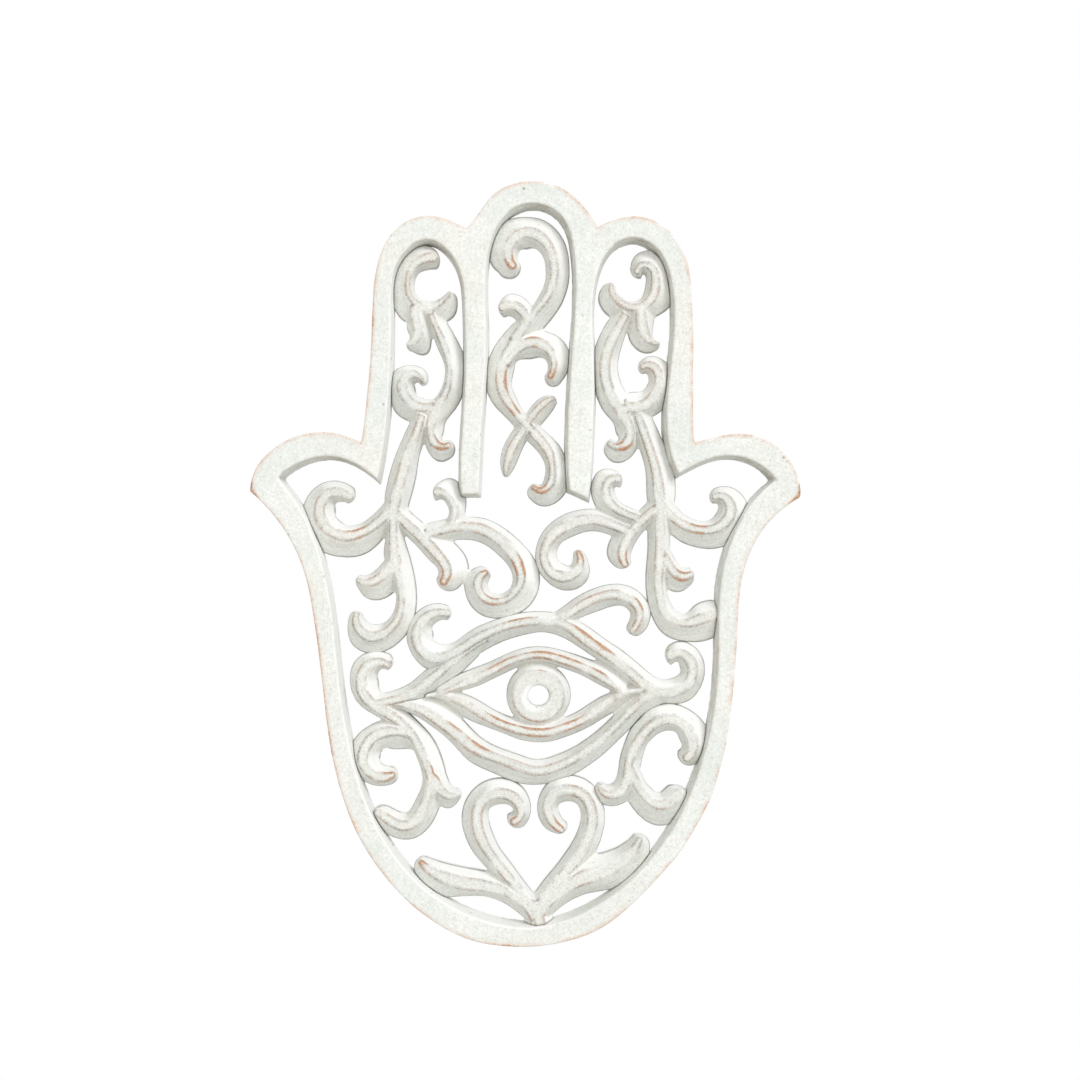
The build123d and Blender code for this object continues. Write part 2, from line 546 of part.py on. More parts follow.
def ring_at(across):
    """A wire ring that turns in its strap's knuckle, from its rest against the wood."""
    lean = Plane(origin=(across, knuckle_radius, knuckle_level), x_dir=(1, 0, 0), z_dir=(0, -1, 0))
    lean = lean.rotated((ring_lean, 0, 0))
    half = (ring_width - ring_wire) / 2
    with BuildPart() as ring:
        with BuildLine(lean) as wire:
            corners = [(-half, 0), (half, 0), (half, ring_reach), (-half, ring_reach)]
            radii = [ring_heel_corner, ring_heel_corner, ring_corner, ring_corner]
            FilletPolyline(*corners, radius=radii, close=True)
        with BuildSketch(Plane(origin=wire.line @ 0, z_dir=wire.line % 0)):
            Circle(ring_wire / 2)
        sweep(path=wire.line)
    return ring


left_hanger_strap = strap_at(left_hanger_across)
right_hanger_strap = strap_at(right_hanger_across)
left_hanger_ring = ring_at(left_hanger_across)
right_hanger_ring = ring_at(right_hanger_across)

with BuildPart() as hanger_screws:
    screw_places = [(x, z) for x in (left_hanger_across, right_hanger_across) for z in screw_heights]
    with BuildSketch(board.offset(-strap_thickness)):
        with Locations(*screw_places):
            Circle(screw_head / 2)
    extrude(amount=-screw_head_height)
    fillet(hanger_screws.edges().group_by(Axis.Y)[-1], min(screw_head_round, 0.8 * screw_head_height))
    with BuildSketch(board.offset(-strap_thickness)):
        with Locations(*screw_places):
            Circle(screw_shank / 2)
    extrude(amount=screw_length)

# The board hand is pieced from two boards, which meet in the thumbs.
with BuildPart() as above_the_seams:
    with BuildSketch(board):
        with Locations((0, frame_seam_height)):
            Rectangle(2 * frame_seam_offset, frame_seam_height, align=(Align.CENTER, Align.MIN))
    extrude(amount=board_thickness)

with BuildPart() as finger_frame:
    add(hand_ring.part)
    add(above_the_seams.part, mode=Mode.INTERSECT)
    add(hanger_screws.part, mode=Mode.SUBTRACT)

with BuildPart() as palm_frame:
    add(hand_ring.part)
    add(above_the_seams.part, mode=Mode.SUBTRACT)

pieces = {
    "finger_frame": finger_frame,
    "palm_frame": palm_frame,
    "left_finger_curl": left_finger_curl,
    "left_finger_stem": left_finger_stem,
    "left_vine": left_vine,
    "left_leaf": left_leaf,
    "left_thumb_curl": left_thumb_curl,
    "left_palm_barb": left_palm_barb,
    "left_palm_spiral": left_palm_spiral,
    "right_finger_curl": right_finger_curl,
    "right_finger_stem": right_finger_stem,
    "right_vine": right_vine,
    "right_leaf": right_leaf,
    "right_thumb_curl": right_thumb_curl,
    "right_palm_barb": right_palm_barb,
    "right_palm_spiral": right_palm_spiral,
    "middle_finger_curl": middle_finger_curl,
    "middle_finger_stem": middle_finger_stem,
    "middle_finger_leaves": middle_finger_leaves,
    "middle_finger_hook": middle_finger_hook,
    "eye_brow": eye_brow,
    "brow_branch": brow_branch,
    "eye_almond": eye_almond,
    "iris_ring": iris_ring,
    "eye_lower_band": eye_lower_band,
    "left_cheek_curl": left_cheek_curl,
    "left_cheek_scroll": left_cheek_scroll,
    "right_cheek_stem": right_cheek_stem,
    "right_cheek_scroll": right_cheek_scroll,
    "heart_left": heart_left,
    "heart_right": heart_right,
    "base_leaf_left": base_leaf_left,
    "base_leaf_right": base_leaf_right,
    "left_hanger_strap": left_hanger_strap,
    "right_hanger_strap": right_hanger_strap,
    "left_hanger_ring": left_hanger_ring,
    "right_hanger_ring": right_hanger_ring,
    "hanger_screws": hanger_screws,
}
for label, piece in pieces.items():
    piece.part.label = label
    export_step(piece.part, f"parts/{label}.step")
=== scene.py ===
import math

import bpy
import bmesh
import numpy as np
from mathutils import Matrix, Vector, kdtree, noise


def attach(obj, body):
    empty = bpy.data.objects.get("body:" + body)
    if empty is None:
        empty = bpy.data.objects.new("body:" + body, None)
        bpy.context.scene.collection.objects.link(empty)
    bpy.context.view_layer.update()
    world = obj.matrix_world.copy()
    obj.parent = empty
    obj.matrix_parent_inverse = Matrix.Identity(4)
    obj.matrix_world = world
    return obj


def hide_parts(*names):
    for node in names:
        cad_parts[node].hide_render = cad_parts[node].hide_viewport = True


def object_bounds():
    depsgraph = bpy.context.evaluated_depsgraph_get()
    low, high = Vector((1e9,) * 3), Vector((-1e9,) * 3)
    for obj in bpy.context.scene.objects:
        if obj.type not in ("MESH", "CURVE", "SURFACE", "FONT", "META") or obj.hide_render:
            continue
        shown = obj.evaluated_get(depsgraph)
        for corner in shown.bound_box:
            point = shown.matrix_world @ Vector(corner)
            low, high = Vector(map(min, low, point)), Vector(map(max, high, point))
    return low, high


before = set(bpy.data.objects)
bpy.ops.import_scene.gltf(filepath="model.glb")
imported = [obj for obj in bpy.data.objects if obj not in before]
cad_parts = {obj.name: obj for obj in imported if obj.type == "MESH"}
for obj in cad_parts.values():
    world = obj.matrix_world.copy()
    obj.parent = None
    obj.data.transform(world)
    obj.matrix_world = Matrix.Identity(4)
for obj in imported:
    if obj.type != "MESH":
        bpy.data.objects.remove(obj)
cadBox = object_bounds()
mm = 0.001
print("frame loaded:", len(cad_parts), "nodes")


# numbers of a shader tree, so that maths reads as maths
class Sock:
    def __init__(self, tree, socket):
        self.tree = tree
        self.socket = socket

    def maths(self, operation, first, second=0.0, clamp=False):
        node = self.tree.nodes.new("ShaderNodeMath")
        node.operation = operation
        node.use_clamp = clamp
        for slot, value in zip(node.inputs, (first, second)):
            if isinstance(value, Sock):
                self.tree.links.new(value.socket, slot)
            else:
                slot.default_value = value
        return Sock(self.tree, node.outputs[0])

    def __add__(self, other):
        return self.maths("ADD", self, other)

    def __radd__(self, other):
        return self.maths("ADD", other, self)

    def __sub__(self, other):
        return self.maths("SUBTRACT", self, other)

    def __rsub__(self, other):
        return self.maths("SUBTRACT", other, self)

    def __mul__(self, other):
        return self.maths("MULTIPLY", self, other)

    def clamped(self):
        return self.maths("ADD", self, 0.0, clamp=True)

    def between(self, low, high):  # 0 below low, 1 above high, straight between
        return self.maths("MULTIPLY", self - low, 1.0 / (high - low), clamp=True)


class Finish:
    def __init__(self, name):
        self.material = bpy.data.materials.new(name)
        self.material.use_nodes = True
        self.tree = self.material.node_tree
        self.tree.nodes.clear()

    # any node: its settings first, then the values or links of its sockets
    def node(self, kind, settings=None, **sockets):
        made = self.tree.nodes.new("ShaderNode" + kind)
        for key, value in (settings or {}).items():
            setattr(made, key, value)
        for key, value in sockets.items():
            self.feed(made.inputs[key.replace("_", " ")], value)
        return made

    def feed(self, slot, value):
        if isinstance(value, Sock):
            self.tree.links.new(value.socket, slot)
        else:
            slot.default_value = value

    def out(self, made, name):
        return Sock(self.tree, made.outputs[name])

    def place(self, stretch=(1, 1, 1)):
        coords = self.out(self.node("TexCoord"), "Object")
        return self.out(self.node("Mapping", None, Vector=coords, Scale=stretch), "Vector")

    def grain(self, scale, detail=3.0, rough=0.55, stretch=(1, 1, 1)):
        place = self.place(stretch)
        made = self.node("TexNoise", None, Vector=place, Scale=scale, Detail=detail, Roughness=rough)
        return self.out(made, "Fac")

    def pits(self, scale):
        made = self.node("TexVoronoi", {"feature": "F1"}, Vector=self.place(), Scale=scale, Randomness=1.0)
        return self.out(made, "Distance")

    # brush marks that run along the strokes: quick across the painted distance, slow along it
    def brushed(self, name, quick, slow):
        lanes = self.out(self.node("CombineXYZ", None, X=self.painted(name) * quick), "Vector")
        joined = self.node("VectorMath", {"operation": "ADD"})
        self.feed(joined.inputs[0], lanes)
        self.feed(joined.inputs[1], self.place((slow, slow, slow)))
        place = self.out(joined, "Vector")
        made = self.node("TexNoise", None, Vector=place, Scale=1.0, Detail=4.0, Roughness=0.6)
        return self.out(made, "Fac")

    def painted(self, name):
        return self.out(self.node("Attribute", {"attribute_name": name}), "Fac")

    def mix(self, factor, first, second):
        made = self.node("Mix", {"data_type": "RGBA"})
        self.feed(made.inputs[0], factor)
        for slot, value in ((made.inputs[6], first), (made.inputs[7], second)):
            self.feed(slot, value if isinstance(value, Sock) else (*value, 1.0))
        return Sock(self.tree, made.outputs[2])

    def bump(self, height, distance, strength):
        made = self.node("Bump", None, Height=height, Distance=distance, Strength=strength)
        return self.out(made, "Normal")

    def finish(self, **sockets):
        shader = self.node("BsdfPrincipled", None, **sockets)
        output = self.node("OutputMaterial")
        self.tree.links.new(shader.outputs[0], output.inputs[0])
        return self.material


# whitewash: a chalky coat, thin and dusty on the carving, rubbed through to the wood in spots; light and
# shade are painted in too: whiter on the slopes facing the light, darker on those turned from it, in the
# hollows and on the carving's lands
whitewash = {
    "litChalk": (0.98, 0.98, 0.965),
    "warmChalk": (0.92, 0.885, 0.825),
    "dustAndShade": (0.50, 0.455, 0.37),
    "mottle": (0.66, 0.675, 0.62),
    "streak": (0.50, 0.48, 0.41),
    "speck": (0.30, 0.25, 0.19),
    "bareWood": (0.60, 0.31, 0.165),
    "darkWood": (0.30, 0.175, 0.10),
}
# per coat: the shade and hollow entries set the painted shade; the lands' entry sets painted shade and dust
# on the front-facing lands
boardCoat = {
    "chalk": (0.925, 0.935, 0.895),
    "coolChalk": (0.835, 0.875, 0.835),
    "dots": 0.55,
    "streaks": 0.12,
    "brush": 0.12,
    "shadeBase": 0.16,
    "shadeSmear": 1.0,
    "shadeColour": (0.33, 0.29, 0.22),
    "hollow": 0.3,
    "line": 1.3,
    "lineColour": (0.74, 0.56, 0.44),
    "lineWarm": (0.70, 0.44, 0.30),
    "skirt": 0.6,
    "skirtColour": (0.34, 0.28, 0.20),
    "topShadeAndDust": 0.0,
    "specks": 0.7,
}
carvedCoat = {
    "chalk": (0.915, 0.92, 0.88),
    "coolChalk": (0.835, 0.87, 0.83),
    "dots": 0.6,
    "streaks": 0.15,
    "brush": 0.36,
    "shadeBase": 0.03,
    "shadeSmear": 0.7,
    "shadeColour": (0.43, 0.40, 0.33),
    "hollow": 0.2,
    "line": 1.1,
    "lineColour": (0.24, 0.205, 0.165),
    "lineWarm": (0.36, 0.225, 0.14),
    "skirt": 0.95,
    "skirtColour": (0.17, 0.16, 0.14),
    "topShadeAndDust": 0.16,
    "specks": 0.35,
}


# noise in the paint: scale, detail, roughness and, for streaks, how it is stretched
paintGrains = {
    "cloud": (38.0, 4.0, 0.6),
    "warmth": (17.0, 2.0, 0.55),
    "speckle": (1050.0, 3.0, 0.7),
    "crumbs": (330.0, 5.0, 0.72),
    "mottle": (620.0, 4.0, 0.65),
    "streak": (95.0, 5.0, 0.65, (7.0, 7.0, 0.8)),
    "smear": (130.0, 4.0, 0.7),
    "breaks": (150.0, 4.0, 0.65),
    "lineHue": (55.0, 3.0, 0.55),
    "stretches": (62.0, 4.0, 0.65),
}
# where each tone shows: the noise it follows, where it starts and where it is full
paintShares = {
    "cool": ("cloud", 0.38, 0.62),
    "warm": ("warmth", 0.5, 0.72),
    "dots": ("speckle", 0.5, 0.64),
    "dotFields": ("crumbs", 0.38, 0.6),
    "mottle": ("mottle", 0.38, 0.66),
    "streaks": ("streak", 0.5, 0.7),
    "smears": ("smear", 0.34, 0.66),
    "dustAndShade": ("speckle", 0.42, 0.64),
    "dustFields": ("crumbs", 0.36, 0.6),
    "warmLines": ("lineHue", 0.46, 0.56),
    "lineGrain": ("speckle", 0.36, 0.64),
    "speckFields": ("breaks", 0.5, 0.56),
    "darkWood": ("speckle", 0.45, 0.62),
}
paintMarks = ("rim", "skirt", "hollow", "shade", "patch", "lit", "top")
brushLanes = {"quick": 26.0, "slow": 75.0}
pitScale = 120.0
paintBump = {"distance": 0.7 * mm, "strength": 0.6}


def whitewashedWood(name, look):
    paint = Finish(name)
    rim, skirt, hollow, shade, patch, lit, top = (paint.painted(mark) for mark in paintMarks)
    grain = {key: paint.grain(*numbers) for key, numbers in paintGrains.items()}
    share = {key: grain[source].between(low, high) for key, (source, low, high) in paintShares.items()}
    speckle, crumbs, breaks = grain["speckle"], grain["crumbs"], grain["breaks"]
    brush = paint.brushed("across", brushLanes["quick"], brushLanes["slow"])

    coat = paint.mix(share["cool"], look["chalk"], look["coolChalk"])
    coat = paint.mix(share["warm"] * 0.7, coat, whitewash["warmChalk"])
    # fewer dust dots on the slopes facing the light: painted highlight
    dots = share["dots"] * share["dotFields"] * (1 - lit * 0.8)
    coat = paint.mix(dots * look["dots"], coat, whitewash["dustAndShade"])
    coat = paint.mix(share["mottle"] * 0.5, coat, whitewash["mottle"])
    # painted highlight: the slopes facing the light get whiter chalk
    coat = paint.mix(lit * 0.9, coat, whitewash["litChalk"])
    coat = paint.mix(share["streaks"] * look["streaks"], coat, whitewash["streak"])
    # fewer brush lanes on the slopes facing the light: painted highlight
    lanes = brush.between(0.48, 0.66) * (1 - lit * 0.85)
    coat = paint.mix(lanes * look["brush"], coat, whitewash["streak"])

    # painted shade on the sides turned from the light and in the hollows; a dark line along the foot of the
    # bevels, with painted shade along the board's opening edge; the lands darkened with painted shade and
    # dust
    paintedShade = shade * (look["shadeBase"] + share["smears"] * crumbs * look["shadeSmear"])
    coat = paint.mix((paintedShade + hollow * look["hollow"]).clamped(), coat, look["shadeColour"])
    # a dark line along the foot of the bevels; on the board it also marks the opening's edge where it lies in
    # the shade, as painted shade
    foot = (skirt * (0.3 + breaks * 1.1)).clamped()
    coat = paint.mix(foot * look["skirt"], coat, look["skirtColour"])
    # painted shade and dust speckle darken the lands that face the front
    landShadeAndDust = top * (0.15 + share["dustAndShade"] * share["dustFields"] * 1.4)
    coat = paint.mix((landShadeAndDust * look["topShadeAndDust"]).clamped(), coat, whitewash["dustAndShade"])

    # worn edges: a broken line along each rim, drawn darker on the sides turned from the light as painted
    # shade, then spots rubbed through to the wood
    lineTone = paint.mix(share["warmLines"], look["lineColour"], look["lineWarm"])
    broken = (grain["stretches"] + patch * 0.2).between(0.42, 0.54)
    # the line darkens with the shade mark: painted shade on top of the wear
    line = rim * (0.1 + broken * (0.3 + share["lineGrain"] * crumbs * 1.4)) * (0.75 + shade)
    coat = paint.mix((line * look["line"]).clamped(), coat, lineTone)
    rubbedRim = rim * (0.55 + (lit * 1.6).clamped() * 0.6)  # the edge towards the light wears most
    rubbed = (patch * (0.42 + rubbedRim) + crumbs * 0.8).between(0.8, 1.12)
    wood = paint.mix(share["darkWood"], whitewash["bareWood"], whitewash["darkWood"])
    coat = paint.mix(rubbed * 0.85, coat, wood)
    specks = (1 - paint.pits(pitScale).between(0.05, 0.13)) * share["speckFields"] * look["specks"]
    coat = paint.mix(specks.clamped(), coat, whitewash["speck"])

    raised = crumbs * 0.5 + speckle * 0.4 + grain["streak"] * 0.4 + brush * 0.4
    height = raised - rubbed * 0.35 - specks * 0.8
    normal = paint.bump(height, paintBump["distance"], paintBump["strength"])
    rough = 0.88 - rubbed * 0.2 + crumbs * 0.08
    return paint.finish(Base_Color=coat, Roughness=rough.clamped(), Normal=normal)


zinc = {"bright": (0.62, 0.62, 0.60), "dull": (0.40, 0.40, 0.39), "stain": (0.28, 0.25, 0.21)}


def zincSteel():
    metal = Finish("zincSteel")
    cloud = metal.grain(420.0, 4.0, 0.6)
    scuff = metal.grain(900.0, 2.0, 0.6, (1.0, 6.0, 6.0))
    stains = metal.grain(150.0, 3.0).between(0.6, 0.72)
    tone = metal.mix(cloud.between(0.4, 0.62), zinc["bright"], zinc["dull"])
    tone = metal.mix(stains * 0.6, tone, zinc["stain"])
    rough = 0.3 + cloud * 0.2 + scuff * 0.12
    normal = metal.bump(scuff, 0.2 * mm, 0.3)
    return metal.finish(Base_Color=tone, Roughness=rough, Metallic=1.0, Normal=normal)


boardMaterial = whitewashedWood("whitewashedBoard", boardCoat)
carvedMaterial = whitewashedWood("whitewashedCarving", carvedCoat)
zincMaterial = zincSteel()
print("materials made")

# strong rubbed spots: across, up from the hand's lowest point, radius, strength (mm)
rubbedSpots = [
    (-45, 261, 7, 1.0), (51, 261, 7, 1.0), (-8, 357, 6, 1.0), (-11, 296, 8, 0.9), (-7, 281, 6, 0.8),
    (3, 316, 6, 0.8), (12, 299, 6, 0.9), (7, 239, 8, 1.0), (-45, 192, 8, 1.0), (81, 193, 7, 0.9),
    (-88, 217, 8, 0.8), (90, 218, 8, 0.8), (30, 164, 10, 0.9), (40, 157, 9, 0.9), (8, 152, 12, 0.8),
    (5, 112, 14, 0.8), (-25, 104, 9, 0.8), (-8, 8, 12, 0.9), (-57, 45, 7, 1.0), (-145, 238, 9, 1.0),
    (143, 234, 9, 1.0), (-110, 160, 22, 0.6), (-104, 105, 20, 0.6), (-82, 330, 16, 0.6), (-5, 198, 8, 0.9),
    (27, 204, 6, 0.9), (-22, 195, 6, 0.8), (51, 202, 7, 0.8), (57, 168, 6, 0.8), (-50, 90, 8, 0.7),
    (-72, 89, 6, 0.8), (15, 62, 7, 0.9), (-7, 66, 6, 0.8), (24, 80, 7, 0.6), (40, 262, 5, 0.6),
    (-14, 148, 13, 0.7), (22, 149, 13, 0.7), (-14, 116, 13, 0.7), (24, 116, 13, 0.7), (37, 142, 9, 0.6),
    (-5, 168, 14, 0.6), (-40, 113, 9, 0.6), (36, 180, 12, 0.6), (57, 178, 7, 0.7), (-20, 178, 9, 0.7),
]
heel = 5 * mm  # the frame's origin lies this far above the hand's lowest point
boardFront = -15 * mm

carving = {
    "voxel": 0.62 * mm,
    "softening": 2,  # rounds of smoothing, which ease the tool-sharp edges
    "waver": 0.22 * mm,  # unevenness of hand carving
    "waverSize": 11 * mm,
    "ripple": 0.07 * mm,  # tool marks
    "rippleSize": 2.6 * mm,
    "wallTilt": 0.12,  # most that a sawn wall leans
    "rimWidth": 0.9 * mm,
    "skirtWidth": 0.8 * mm,
}
eyeCarving = {
    **carving,
    "voxel": 0.66 * mm,
    "pupilHighlightDisc": (4.2 * mm, 129.6 * mm, 8 * mm),  # painted highlight at the pupil's lower left
}
board = {
    "voxel": 0.74 * mm,
    "softening": 2,
    "waver": 0.26 * mm,
    "waverSize": 16 * mm,
    "ripple": 0.06 * mm,
    "rippleSize": 3.4 * mm,
    "wallTilt": 0.05,  # the opening's walls lean more than this, so only the outside wears
    "rimWidth": 1.5 * mm,
    "skirtWidth": 0.8 * mm,
    "opening": True,  # its inner edge is painted as a skirt where it lies in the shade
}
# how the worked shape sets the paint's marks
marking = {
    "landTilt": (0.9, 0.98),  # how squarely a land faces the front: from, full
    "litTilt": (0.35, 0.65),  # how squarely a bevel faces the light: from, full
    "pupilHighlightEdge": 2 * mm,
    "pupilHighlightMost": 0.9,
    "turnRounds": 9,  # rounds of smoothing against which a turn stands out
    "turnHeight": 0.05,  # mm, a full turn
    "hollowRounds": 40,
    "hollowDepth": 0.5,  # mm, a full hollow
    "brushReach": 12 * mm,
    "spotReach": 1.25,  # of a rubbed spot's radius
    "openingShade": -0.15,
}
pointStep = 0.4 * mm  # along a worn line
flatBack = 1.5 * mm  # the unevenness fades out over this depth, so the back stays flat
paintedLightFrom = Vector((0.64, -0.28, 0.72)).normalized()  # the light painted into the coat falls from the upper right


# points along the turns that are marked: rims, from the flat top to a slope or wall, which wear, and skirts,
# from a slope to a sawn wall or, on the board, the opening's edge where it lies in the shade, which is
# painted as shade
def turnLines(work, settings):
    lines = {"rim": [], "skirt": []}
    for edge in work.edges:
        if len(edge.link_faces) != 2:
            continue
        top, slope = sorted((face.normal for face in edge.link_faces), key=lambda normal: normal.y)
        front, side = top.y, slope.y
        flat = front < -0.985
        wall = abs(side) < settings["wallTilt"]
        inside = flat and settings.get("opening", False) and not wall
        if inside and slope.dot(paintedLightFrom) > marking["openingShade"]:
            continue
        if inside:
            kind = "skirt"
        elif flat and side > -0.95:
            kind = "rim"
        elif -0.95 < front < -0.2 and wall:
            kind = "skirt"
        else:
            continue
        start, end = (vertex.co for vertex in edge.verts)
        count = max(1, math.ceil((end - start).length / pointStep))
        lines[kind] += [start.lerp(end, step / count) for step in range(count + 1)]
    return lines


def distances(points, line):
    if not line:
        return np.full(len(points), 1.0)
    finder = kdtree.KDTree(len(line))
    for index, point in enumerate(line):
        finder.insert(point, index)
    finder.balance()
    return np.array([finder.find(point)[2] for point in points])


def joinedCopy(name, nodeNames, settings):
    work = bmesh.new()
    for nodeName in nodeNames:
        work.from_mesh(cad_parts[nodeName].data)
    bmesh.ops.remove_doubles(work, verts=work.verts, dist=1e-6)
    lines = turnLines(work, settings)
    mesh = bpy.data.meshes.new(name)
    work.to_mesh(mesh)
    work.free()
    piece = bpy.data.objects.new(name, mesh)
    bpy.context.scene.collection.objects.link(piece)
    return piece, lines


def settle(piece):  # bake the live modifiers into a plain mesh
    depsgraph = bpy.context.evaluated_depsgraph_get()
    baked = bpy.data.meshes.new_from_object(piece.evaluated_get(depsgraph))
    piece.modifiers.clear()
    old = piece.data
    piece.data = baked
    bpy.data.meshes.remove(old)


def meshArrays(mesh):
    points = np.empty(len(mesh.vertices) * 3)
    mesh.vertices.foreach_get("co", points)
    edges = np.empty(len(mesh.edges) * 2, int)
    mesh.edges.foreach_get("vertices", edges)
    return points.reshape(-1, 3), edges.reshape(-1, 2)


def averaged(values, edges, rounds, share=0.5):
    count = len(values)
    first, second = edges[:, 0], edges[:, 1]
    degree = np.bincount(first, minlength=count) + np.bincount(second, minlength=count)
    degree = np.maximum(degree, 1)
    values = values.copy()
    flat = values.ndim == 1
    columns = [values] if flat else [values[:, axis] for axis in range(values.shape[1])]
    for _ in range(rounds):
        fresh = []
        for column in columns:
            total = np.bincount(first, weights=column[second], minlength=count)
            total += np.bincount(second, weights=column[first], minlength=count)
            fresh.append(column * (1 - share) + share * total / degree)
        columns = fresh
    return columns[0] if flat else np.stack(columns, axis=1)


def vertexNormals(mesh):
    normals = np.empty(len(mesh.vertices) * 3)
    mesh.vertex_normals.foreach_get("vector", normals)
    return normals.reshape(-1, 3)


def storePaint(mesh, name, values):
    layer = mesh.attributes.new(name, "FLOAT", "POINT")
    layer.data.foreach_set("value", np.clip(values, 0, 1).astype(np.float32))


def workShape(mesh, settings):
    points, edges = meshArrays(mesh)
    points = averaged(points, edges, settings["softening"])
    mesh.vertices.foreach_set("co", points.ravel())
    mesh.update()
    normals = vertexNormals(mesh)
    slow = 1 / settings["waverSize"]
    quick = 1 / settings["rippleSize"]
    lift = np.array([
        settings["waver"] * noise.noise(Vector(point) * slow)
        + settings["ripple"] * noise.noise(Vector(point) * quick)
        for point in points
    ])
    held = np.clip(-points[:, 1] / flatBack, 0, 1)
    points = points + normals * (lift * held)[:, None]
    points = np.clip(points, cadBox[0], cadBox[1])
    points[:, 1] = np.minimum(points[:, 1], 0)
    mesh.vertices.foreach_set("co", points.ravel())
    mesh.update()
    return points, edges


def ramp(values, limits):
    low, high = limits
    return np.clip((values - low) / (high - low), 0, 1)


def workPaint(mesh, points, edges, lines, settings):
    normals = vertexNormals(mesh)
    facing = normals @ np.array(paintedLightFrom)
    # the pupil's lower left is painted whiter as a painted highlight and kept free of the lands' painted
    # shade
    across, level, radius = settings.get("pupilHighlightDisc", (0, 0, 0))
    fromDisc = np.hypot(points[:, 0] - across, points[:, 2] + heel - level)
    fresh = np.clip((radius - fromDisc) / marking["pupilHighlightEdge"], 0, marking["pupilHighlightMost"])
    # top: the lands facing the front, darkened with painted shade and dust
    storePaint(mesh, "top", ramp(-normals[:, 1], marking["landTilt"]) * (1 - fresh))
    # lit: painted highlight on the slopes facing the light
    storePaint(mesh, "lit", np.maximum(ramp(facing, marking["litTilt"]), fresh))
    eased = averaged(points, edges, marking["turnRounds"])
    bulge = averaged(((points - eased) * normals).sum(axis=1) / mm, edges, 2)
    turned = np.clip(bulge / marking["turnHeight"], 0, 1)
    for kind in ("rim", "skirt"):
        far = distances(points, lines[kind])
        storePaint(mesh, kind, np.exp(-(far / settings[kind + "Width"]) ** 2) * turned)
        if kind == "rim":
            storePaint(mesh, "across", far / marking["brushReach"])
    # hollow: how deep a point sits in a recess, darkened as painted shade
    filled = averaged(points, edges, marking["hollowRounds"])
    dip = averaged(((filled - points) * normals).sum(axis=1) / mm, edges, 4)
    storePaint(mesh, "hollow", dip / marking["hollowDepth"])
    # shade: painted shade on the slopes turned from the light
    slope = 1 - np.abs(normals[:, 1])
    storePaint(mesh, "shade", np.clip(-facing * 1.25, 0, 1) ** 1.4 * np.clip(slope * 1.8, 0, 1))
    spots = np.zeros(len(points))
    for x, z, size, strength in rubbedSpots:
        far = np.hypot(points[:, 0] - x * mm, points[:, 2] + heel - z * mm) / (size * mm)
        spots = np.maximum(spots, strength * np.clip(marking["spotReach"] - far, 0, 1))
    storePaint(mesh, "patch", spots)


def handWork(piece, lines, settings):
    remesh = piece.modifiers.new("blocks", "REMESH")
    remesh.mode = "VOXEL"
    remesh.voxel_size = settings["voxel"]
    settle(piece)
    mesh = piece.data
    points, edges = workShape(mesh, settings)
    workPaint(mesh, points, edges, lines, settings)
    mesh.polygons.foreach_set("use_smooth", np.ones(len(mesh.polygons), bool))
    return piece


groups = {
    "leftScrolls": (carving, [
        "left_finger_curl", "left_finger_stem", "left_vine", "left_leaf", "left_thumb_curl", "left_palm_barb",
        "left_palm_spiral",
    ]),
    "rightScrolls": (carving, [
        "right_finger_curl", "right_finger_stem", "right_vine", "right_leaf", "right_thumb_curl",
        "right_palm_barb", "right_palm_spiral",
    ]),
    "middleScrolls": (carving, [
        "middle_finger_curl", "middle_finger_stem", "middle_finger_leaves", "middle_finger_hook",
    ]),
    "eyeScrolls": (eyeCarving, ["eye_brow", "brow_branch", "eye_almond", "iris_ring", "eye_lower_band"]),
    "cheekScrolls": (carving, [
        "left_cheek_curl", "left_cheek_scroll", "right_cheek_stem", "right_cheek_scroll",
    ]),
    "heartScrolls": (carving, ["heart_left", "heart_right", "base_leaf_left", "base_leaf_right"]),
}


def hang(piece, nodeNames, material):
    piece.data.materials.clear()
    piece.data.materials.append(material)
    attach(piece, "panel")
    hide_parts(*nodeNames)
    print(piece.name, "worked:", len(piece.data.polygons), "faces")


for name, (settings, nodeNames) in groups.items():
    hang(handWork(*joinedCopy(name, nodeNames, settings), settings), nodeNames, carvedMaterial)

# the board hand is worked in one, then parted at the glue lines in the thumbs
glueLine = {"offset": 107 * mm, "height": 226 * mm}


def partBoard(whole, name, wantFingers):
    work = bmesh.new()
    work.from_mesh(whole.data)
    for side in (-1, 1):
        everything = work.verts[:] + work.edges[:] + work.faces[:]
        bmesh.ops.bisect_plane(
            work, geom=everything, dist=1e-7, plane_co=(side * glueLine["offset"], 0, 0), plane_no=(1, 0, 0))
    drop = []
    for face in work.faces:
        middle = face.calc_center_median()
        inFingers = abs(middle.x) < glueLine["offset"] and middle.z > glueLine["height"]
        if inFingers != wantFingers:
            drop.append(face)
    bmesh.ops.delete(work, geom=drop, context="FACES")
    cut = [edge for edge in work.edges if edge.is_boundary]
    bmesh.ops.holes_fill(work, edges=cut, sides=0)
    for edge in cut:
        edge.smooth = False  # so the glue line doesn't bend the shading
    bmesh.ops.triangulate(work, faces=[face for face in work.faces if len(face.verts) > 4])
    mesh = bpy.data.meshes.new(name)
    work.to_mesh(mesh)
    work.free()
    mesh.polygons.foreach_set("use_smooth", np.ones(len(mesh.polygons), bool))
    piece = bpy.data.objects.new(name, mesh)
    bpy.context.scene.collection.objects.link(piece)
    return piece


wholeBoard = handWork(*joinedCopy("wholeBoard", ["finger_frame", "palm_frame"], board), board)
hang(partBoard(wholeBoard, "fingerBoard", True), ["finger_frame"], boardMaterial)
hang(partBoard(wholeBoard, "palmBoard", False), ["palm_frame"], boardMaterial)
bpy.data.objects.remove(wholeBoard)

